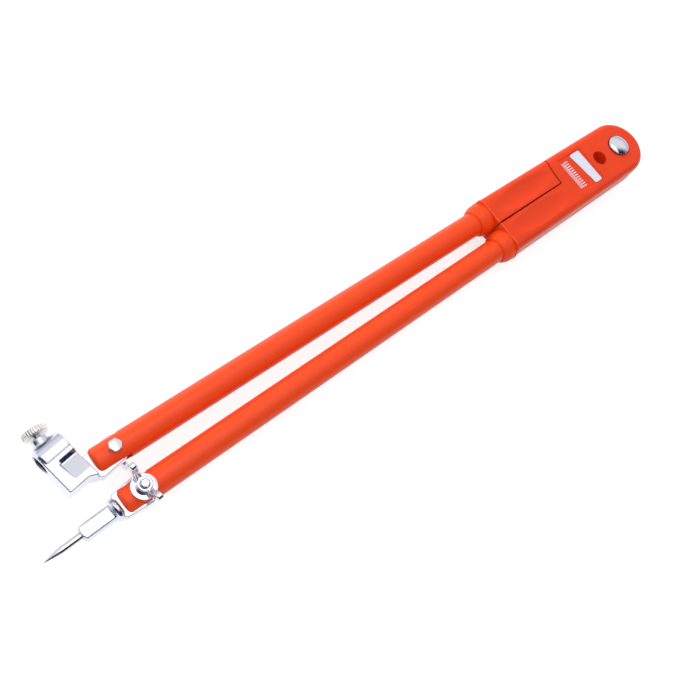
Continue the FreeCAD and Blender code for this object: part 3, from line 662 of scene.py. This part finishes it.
def handle_rib(name, node_name, tube_y, sizes):
    """A thin shell that follows a slice of the handle's skin and stands a little off it."""
    node = frame["nodes"][node_name]
    shape = bmesh.new()
    shape.from_mesh(node.data)
    bmesh.ops.transform(shape, matrix=node.matrix_world, verts=shape.verts)
    bmesh.ops.remove_doubles(shape, verts=shape.verts, dist=MERGE_DISTANCE)
    start = HINGE.x - sizes.end + sizes.width * sizes.set_back_share
    for edge_x, way in ((start, -1), (start + sizes.width, 1)):
        bmesh.ops.bisect_plane(
            shape, geom=shape.verts[:] + shape.edges[:] + shape.faces[:], plane_co=(edge_x, 0, 0),
            plane_no=(way, 0, 0), clear_outer=True,
        )
    axis = Vector((start, tube_y, HINGE.z))
    inner = []
    for face in shape.faces:
        spoke = face.calc_center_median() - axis
        if math.hypot(spoke.y, spoke.z) < sizes.hollow:
            inner.append(face)
    bmesh.ops.delete(shape, geom=inner, context="FACES")
    shape.normal_update()
    for corner in shape.verts:
        corner.co += corner.normal * sizes.height
    bmesh.ops.solidify(shape, geom=shape.faces[:], thickness=sizes.thickness)
    return finish_mesh(shape, name, Matrix())


def hexagon_head(name, flats, height, place):
    """A hexagon whose top corners are turned off at 30 degrees."""
    sides = 6
    crown_share = 0.47
    rim_share = 1.02
    turned_angle = math.radians(30)
    corner = flats / math.sqrt(3)
    flats_ahead = Matrix.Rotation(FULL_TURN / sides / 2, 4, "Z")
    shape = bmesh.new()
    bmesh.ops.create_cone(
        shape, cap_ends=True, segments=sides, radius1=corner, radius2=corner, depth=height,
        matrix=Matrix.Translation((0, 0, height / 2)) @ flats_ahead,
    )
    head = finish_mesh(shape, name, Matrix())
    crown = flats * crown_share
    rim = corner * rim_share
    drop = (rim - crown) * math.tan(turned_angle)
    shape = bmesh.new()
    profile = [(0, -height), (rim, -height), (rim, height - drop), (crown, height), (0, height)]
    spin_profile(shape, profile, WASHER_STEPS)
    cutter = finish_mesh(shape, f"{name}_turning", Matrix())
    cut = head.modifiers.new("turned corners", "BOOLEAN")
    cut.operation = "INTERSECT"
    cut.solver = "EXACT"
    cut.object = cutter
    settle(head)
    bpy.data.objects.remove(cutter)
    shape = bmesh.new()
    shape.from_mesh(head.data)
    bpy.data.objects.remove(head)
    bmesh.ops.transform(shape, matrix=place, verts=shape.verts)
    return shape


def knee_bolt(name, radius, flats, head, pitch, place, underside, end):
    """A hexagon bolt whose head's underside is at Z = underside, pointing to +Z."""
    down = Matrix.Translation((0, 0, underside)) @ Matrix.Rotation(HALF_TURN, 4, "X")
    shape = hexagon_head(name, flats, head, down)
    inside_head = underside - head / 2
    tip = tip_radius(radius)
    thread = thread_points(radius, pitch, TUBE_RADIUS, end - (radius - tip))
    points = [(0, inside_head), (radius, inside_head), (radius, TUBE_RADIUS)]
    points += thread[1:] + [(tip, end), (0, end)]
    spin_profile(shape, points, BOLT_STEPS)
    return finish_mesh(shape, name, place)


def stamped_washer(name, inner, outer, thickness, edge, place):
    """A flat ring with its outer edges rounded and its hole's upper edge turned off."""
    shape = bmesh.new()
    low, high = edge, thickness - edge
    points = [(inner, 0), (outer - edge, 0)]
    points += arc_points((outer - edge, low), edge, -90, 0)[1:]
    points += arc_points((outer - edge, high), edge, 0, 90)
    points += [(inner + edge / 2, thickness), (inner, thickness - edge / 2), (inner, 0)]
    spin_profile(shape, points, WASHER_STEPS)
    return finish_mesh(shape, name, place)


def wing_ear(shape, hub_radius, hub_height, reach, height, web, ear, side):
    """One ear, a rounded plate in the XZ plane that starts inside the hub's wall."""
    root_share = 0.2
    inside_share = 0.72
    foot_share = 0.85
    outer_bend_share = 0.85
    inner_bend_share = 0.75
    rounding_share = 0.3
    inside = hub_radius * inside_share
    root = hub_height * root_share
    low = (hub_radius + (reach - hub_radius) * root_share, root)
    tip = (reach, height - ear)
    top = (reach - ear, height)
    inner = (reach - 2 * ear, height - ear)
    foot = (inside, hub_height * foot_share)
    points = bend_points(low, tip, reach * outer_bend_share)
    points += bend_points(tip, top, ear, EAR_STEPS)[1:]
    points += bend_points(top, inner, ear, EAR_STEPS)[1:]
    points += bend_points(inner, foot, -reach * inner_bend_share)[1:]
    points.append((inside, root))
    plate = bmesh.new()
    extrude_outline(plate, points, web, web * rounding_share)
    stand = Matrix.Rotation(HALF_TURN / 2, 4, "X")
    if side < 0:
        stand = Matrix.Rotation(HALF_TURN, 4, "Z") @ stand
    bmesh.ops.transform(plate, matrix=stand, verts=plate.verts)
    mesh = bpy.data.meshes.new("ear")
    plate.to_mesh(mesh)
    plate.free()
    shape.from_mesh(mesh)
    bpy.data.meshes.remove(mesh)


def wing_nut(name, hole, hub_radius, hub_height, reach, height, web, ear, sizes, place):
    """A cast wing nut: two ears and a tapered hub, melted together and polished."""
    top_share = 0.84
    edge_share = 0.06
    edge_slope_share = 0.3
    shape = bmesh.new()
    for side in (1, -1):
        wing_ear(shape, hub_radius, hub_height, reach, height, web, ear, side)
    top = hub_radius * top_share
    edge = hub_radius * edge_share
    points = [
        (hole, 0), (hub_radius, 0), (top + edge * edge_slope_share, hub_height - edge),
        (top - edge, hub_height), (hole + edge, hub_height), (hole, hub_height - edge), (hole, 0),
    ]
    spin_profile(shape, points, BOLT_STEPS)
    nut = finish_mesh(shape, name, Matrix())
    melt = nut.modifiers.new("casting", "REMESH")
    melt.mode = "VOXEL"
    melt.voxel_size = sizes.voxel
    soften = nut.modifiers.new("polish", "SMOOTH")
    soften.iterations = sizes.polish
    settle(nut)
    nut.data.transform(place)
    for face in nut.data.polygons:
        face.use_smooth = True
    return nut


class COMPASS_OT_head(bpy.types.Operator):
    """Finish the two moulded halves of the head, its badge and its rivet"""

    bl_idname = "compass.head"
    bl_label = "Head and rivet"

    def execute(self, context):
        dress("front_head", finish_of("head_plastic"))
        dress("rear_head", finish_of("head_plastic"))
        dress("badge_plate", finish_of("badge"))
        dress("hinge_rivet", finish_of("chrome"))
        dress("hinge_washer", finish_of("plated_steel"))
        dress("friction_washer", finish_of("nylon"))
        sizes = context.scene.compass_ribs
        for node, tube, body in (
            ("front_head", "right_tube", "needle_leg"), ("rear_head", "left_tube", "pencil_leg"),
        ):
            low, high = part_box(tube)
            rib = handle_rib(f"{node}_rib", node, (low.y + high.y) / 2, sizes)
            # painted highlight: the rib takes the paler tube coat, so it shows as a bright line across the
            # handle's end
            show_as(rib, body, "head_plastic", finish_of("tube_paint"))
        return {"FINISHED"}


class COMPASS_OT_label(bpy.types.Operator):
    """Print a plain two-row scale in the head's recess"""

    bl_idname = "compass.label"
    bl_label = "Plain scale"

    def execute(self, context):
        sizes = context.scene.compass_label
        face = HEAD_FACE - sizes.floor_depth + sizes.ink / 2
        line_x = HINGE.x - sizes.line_at
        shape = bmesh.new()

        def bar(along, across, x_middle, y_middle):
            """A thin bar of ink on the recess floor."""
            place = Matrix.Translation((x_middle, y_middle, face))
            size = Matrix.Diagonal((along, across, sizes.ink, 1))
            bmesh.ops.create_cube(shape, size=1, matrix=place @ size)

        bar(sizes.line_width, sizes.line_length, line_x, 0)
        rows = (
            (sizes.long_count, sizes.long_tick, sizes.long_width, 1),
            (sizes.short_count, sizes.short_tick, sizes.short_width, -1),
        )
        for ticks, tick, width, side in rows:
            reach = sizes.line_length - width
            x_middle = line_x + side * (sizes.line_width / 2 + sizes.tick_gap + tick / 2)
            for number in range(ticks):
                bar(tick, width, x_middle, reach * (number / (ticks - 1) - 1 / 2))
        scale = finish_mesh(shape, "label_scale", Matrix())
        show_as(scale, "needle_leg", "badge", finish_of("badge"))
        return {"FINISHED"}


class COMPASS_OT_legs(bpy.types.Operator):
    """Coat the two tubes"""

    bl_idname = "compass.legs"
    bl_label = "Tube legs"

    def execute(self, context):
        dress("left_tube", finish_of("tube_paint"))
        dress("right_tube", finish_of("tube_paint"))
        return {"FINISHED"}


class COMPASS_OT_needle_knee(bpy.types.Operator):
    """Make the bolt, washers and wing nut of the needle leg's knee"""

    bl_idname = "compass.needle_knee"
    bl_label = "Needle knee hardware"

    def execute(self, context):
        sizes = context.scene.compass_hardware
        zinc = finish_of("plated_steel")
        hole = sizes.needle_bolt_radius + sizes.thread_clearance
        place = Matrix.Translation(NEEDLE_KNEE)
        front_low, front_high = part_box("needle_front_washer")
        rear_low, rear_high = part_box("needle_rear_washer")
        bolt_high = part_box("needle_bolt")[1]
        bolt = knee_bolt(
            "needle_knee_bolt", sizes.needle_bolt_radius, sizes.needle_bolt_flats, sizes.needle_bolt_head,
            sizes.needle_thread_pitch, place, rear_low.z - NEEDLE_KNEE.z, bolt_high.z - NEEDLE_KNEE.z,
        )
        show_as(bolt, "needle_leg", "plated_steel", zinc, "needle_bolt")
        for node, low, high in (
            ("needle_front_washer", front_low, front_high), ("needle_rear_washer", rear_low, rear_high),
        ):
            spot = Matrix.Translation((NEEDLE_KNEE.x, NEEDLE_KNEE.y, low.z))
            ring = stamped_washer(
                f"{node}_stamped", hole, (high.x - low.x) / 2, high.z - low.z, sizes.washer_round, spot
            )
            show_as(ring, "needle_leg", "plated_steel", zinc, node)
        seat = Matrix.Translation((NEEDLE_KNEE.x, NEEDLE_KNEE.y, front_high.z))
        nut = wing_nut(
            "needle_wing_nut_cast", hole, sizes.needle_nut_hub_radius, sizes.needle_nut_hub_height,
            sizes.needle_nut_reach, sizes.needle_nut_height, sizes.needle_nut_web, sizes.needle_nut_ear,
            sizes, seat @ Matrix.Rotation(sizes.needle_nut_turn, 4, "Z"),
        )
        show_as(nut, "needle_wing_nut", "plated_steel", zinc, "needle_wing_nut")
        return {"FINISHED"}


class COMPASS_OT_pencil_knee(bpy.types.Operator):
    """Make the bolt, washer and wing nut of the pencil leg's knee"""

    bl_idname = "compass.pencil_knee"
    bl_label = "Pencil knee hardware"

    def execute(self, context):
        sizes = context.scene.compass_hardware
        zinc = finish_of("plated_steel")
        hole = sizes.pencil_bolt_radius + sizes.thread_clearance
        over = Matrix.Rotation(HALF_TURN, 4, "X")
        washer_low, washer_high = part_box("pencil_bolt_washer")
        bolt_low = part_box("pencil_bolt")[0]
        bolt = knee_bolt(
            "pencil_knee_bolt", sizes.pencil_bolt_radius, sizes.pencil_bolt_flats, sizes.pencil_bolt_head,
            sizes.pencil_thread_pitch, Matrix.Translation(PENCIL_KNEE) @ over, -TUBE_RADIUS,
            PENCIL_KNEE.z - bolt_low.z,
        )
        show_as(bolt, "pencil_leg", "plated_steel", zinc, "pencil_bolt")
        spot = Matrix.Translation((PENCIL_KNEE.x, PENCIL_KNEE.y, washer_low.z))
        ring = stamped_washer(
            "pencil_bolt_washer_stamped", hole, (washer_high.x - washer_low.x) / 2,
            washer_high.z - washer_low.z, sizes.washer_round, spot,
        )
        show_as(ring, "pencil_leg", "plated_steel", zinc, "pencil_bolt_washer")
        nut = wing_nut(
            "pencil_wing_nut_cast", hole, sizes.pencil_nut_hub_radius, sizes.pencil_nut_hub_height,
            sizes.pencil_nut_reach, sizes.pencil_nut_height, sizes.pencil_nut_web, sizes.pencil_nut_ear,
            sizes, spot @ Matrix.Rotation(sizes.pencil_nut_turn, 4, "Z") @ over,
        )
        show_as(nut, "pencil_wing_nut", "plated_steel", zinc, "pencil_wing_nut")
        return {"FINISHED"}


class COMPASS_OT_needle(bpy.types.Operator):
    """Finish the needle, its socket and its grub screw"""

    bl_idname = "compass.needle"
    bl_label = "Needle and socket"

    def execute(self, context):
        dress("needle_socket", finish_of("chrome"))
        dress("needle", finish_of("needle_steel"))
        dress("needle_grub_screw", finish_of("black_steel"))
        return {"FINISHED"}


class COMPASS_OT_holder(bpy.types.Operator):
    """Finish the pencil holder and make its thumb screw"""

    bl_idname = "compass.holder"
    bl_label = "Pencil holder and thumb screw"

    def execute(self, context):
        sizes = context.scene.compass_screw
        dress("pencil_holder", finish_of("chrome"))
        dress("thumb_knob", finish_of("knob_nickel"))
        tip = tip_radius(sizes.radius)
        thread = thread_points(sizes.radius, sizes.pitch, sizes.tip + sizes.radius - tip, sizes.top)
        points = [(0, sizes.tip), (tip, sizes.tip)] + thread + [(0, sizes.top)]
        shape = bmesh.new()
        spin_profile(shape, points, BOLT_STEPS)
        along = Matrix.Translation(SCREW_FOOT) @ SCREW_AXIS.to_track_quat("Z", "Y").to_matrix().to_4x4()
        screw = finish_mesh(shape, "clamp_screw_threaded", along)
        show_as(screw, "clamp_screw", "plated_steel", finish_of("plated_steel"), "clamp_screw")
        return {"FINISHED"}


def add_lamp(name, place, aim, size, watts):
    """A rectangular lamp that stands at a place and points at another."""
    lamp = bpy.data.lights.new(name, "AREA")
    lamp.shape = "RECTANGLE"
    lamp.size, lamp.size_y = size
    lamp.energy = watts
    stand = bpy.data.objects.new(name, lamp)
    stand.location = place
    stand.rotation_euler = (Vector(aim) - Vector(place)).to_track_quat("-Z", "Y").to_euler()
    bpy.context.scene.collection.objects.link(stand)
    return stand


class COMPASS_OT_studio(bpy.types.Operator):
    """Set up the pale floor, the soft lamps and the camera"""

    bl_idname = "compass.studio"
    bl_label = "Studio"

    def execute(self, context):
        scene = context.scene
        scene.view_settings.view_transform = "Standard"
        self.make_floor(scene.compass_studio)
        self.make_world(scene, scene.compass_studio)
        self.make_lamps(scene.compass_lamps)
        self.make_camera(scene, scene.compass_studio)
        return {"FINISHED"}

    def make_floor(self, studio):
        """Matt paper that glows towards white for the camera and keeps the compass's shadow."""
        shape = bmesh.new()
        bmesh.ops.create_grid(shape, x_segments=1, y_segments=1, size=studio.floor_width / 2)
        floor = finish_mesh(shape, "floor", Matrix.Translation((0, 0, cad_box[0].z - studio.floor_gap)))
        material = bpy.data.materials.new("pale_floor")
        paper = Shading(material)
        matt = paper.add("ShaderNodeBsdfDiffuse")
        paper.fill(matt.inputs["Color"], rgba(studio.floor_colour))
        glow = paper.add("ShaderNodeEmission")
        paper.fill(glow.inputs["Strength"], studio.floor_glow)
        both = paper.add("ShaderNodeAddShader")
        paper.fill(both.inputs[0], matt.outputs["BSDF"])
        paper.fill(both.inputs[1], glow.outputs["Emission"])
        output = paper.add("ShaderNodeOutputMaterial")
        shown = paper.white_to_camera(both.outputs["Shader"], matt.outputs["BSDF"])
        paper.fill(output.inputs["Surface"], shown)
        floor.data.materials.append(material)

    def make_world(self, scene, studio):
        """Plain white for the camera; for metal pale walls on one side and a dark room on the other."""
        scene.world = bpy.data.worlds.new("studio")
        room = Shading(scene.world)
        ray = room.add("ShaderNodeTexCoord").outputs["Generated"]
        elevation = room.parts(ray)["Z"]
        wall_height = room.soft_step(elevation, studio.wall_foot, studio.wall_head)
        wall = room.mixed(wall_height, rgba(studio.wall_low), rgba(studio.wall_high))
        lit = room.soft_step(room.dot(ray, studio.wall_side), studio.wall_start, studio.wall_full)
        around = room.mixed(lit, rgba(studio.dark_room), wall)
        above_floor = room.soft_step(elevation, 0.0, studio.sweep_top)
        swept = room.mixed(above_floor, rgba(studio.wall_low), around)
        camera_ray = room.add("ShaderNodeLightPath").outputs["Is Camera Ray"]
        seen = room.add("ShaderNodeBackground")
        room.fill(seen.inputs["Color"], room.mixed(camera_ray, swept, WHITE))
        unseen = room.add("ShaderNodeBackground")
        room.fill(unseen.inputs["Color"], WHITE)
        room.fill(unseen.inputs["Strength"], studio.world_light)
        output = room.add("ShaderNodeOutputWorld")
        shown = room.white_to_camera(seen.outputs["Background"], unseen.outputs["Background"])
        room.fill(output.inputs["Surface"], shown)

    def make_lamps(self, lamps):
        """Three lamps that metal doesn't see, and the soft box that it does."""
        for lamp in (
            add_lamp("side_lamp", lamps.side_place, lamps.aim, lamps.side_size, lamps.side_power),
            add_lamp("top_lamp", lamps.top_place, lamps.aim, lamps.top_size, lamps.top_power),
            add_lamp("strip_lamp", lamps.strip_place, lamps.aim, lamps.strip_size, lamps.strip_power),
        ):
            lamp.visible_glossy = False
        add_lamp("soft_box", lamps.box_place, lamps.box_aim, lamps.box_size, lamps.box_power)

    def make_camera(self, scene, studio):
        camera = bpy.data.cameras.new("camera")
        camera.sensor_width = studio.sensor
        camera.lens = studio.lens
        camera.clip_start = studio.nearest
        stand = bpy.data.objects.new("camera", camera)
        stand.location = studio.camera_place
        stand.rotation_euler = studio.camera_turn
        scene.collection.objects.link(stand)
        scene.camera = stand


OPERATORS = (
    COMPASS_OT_head,
    COMPASS_OT_label,
    COMPASS_OT_legs,
    COMPASS_OT_needle_knee,
    COMPASS_OT_pencil_knee,
    COMPASS_OT_needle,
    COMPASS_OT_holder,
    COMPASS_OT_studio,
)


class COMPASS_PT_panel(bpy.types.Panel):
    """Lists the compass's operators and sizes"""

    bl_idname = "COMPASS_PT_panel"
    bl_label = "Hinged compass"
    bl_space_type = "VIEW_3D"
    bl_region_type = "UI"
    bl_category = "Compass"

    def draw(self, context):
        layout = self.layout
        for operator in OPERATORS:
            layout.operator(operator.bl_idname)
        for group_name, group in GROUPS.items():
            box = layout.box()
            box.label(text=group.__doc__)
            for name in group.__annotations__:
                box.prop(getattr(context.scene, group_name), name)


def register():
    for group_name, group in GROUPS.items():
        bpy.utils.register_class(group)
        setattr(bpy.types.Scene, group_name, bpy.props.PointerProperty(type=group))
    for operator in OPERATORS:
        bpy.utils.register_class(operator)
    bpy.utils.register_class(COMPASS_PT_panel)


def unregister():
    bpy.utils.unregister_class(COMPASS_PT_panel)
    for operator in reversed(OPERATORS):
        bpy.utils.unregister_class(operator)
    for group_name, group in reversed(GROUPS.items()):
        delattr(bpy.types.Scene, group_name)
        bpy.utils.unregister_class(group)


def main():
    register()
    bpy.ops.compass.head()
    bpy.ops.compass.label()
    bpy.ops.compass.legs()
    bpy.ops.compass.needle_knee()
    bpy.ops.compass.pencil_knee()
    bpy.ops.compass.needle()
    bpy.ops.compass.holder()
    bpy.ops.compass.studio()


if __name__ == "__main__":
    main()
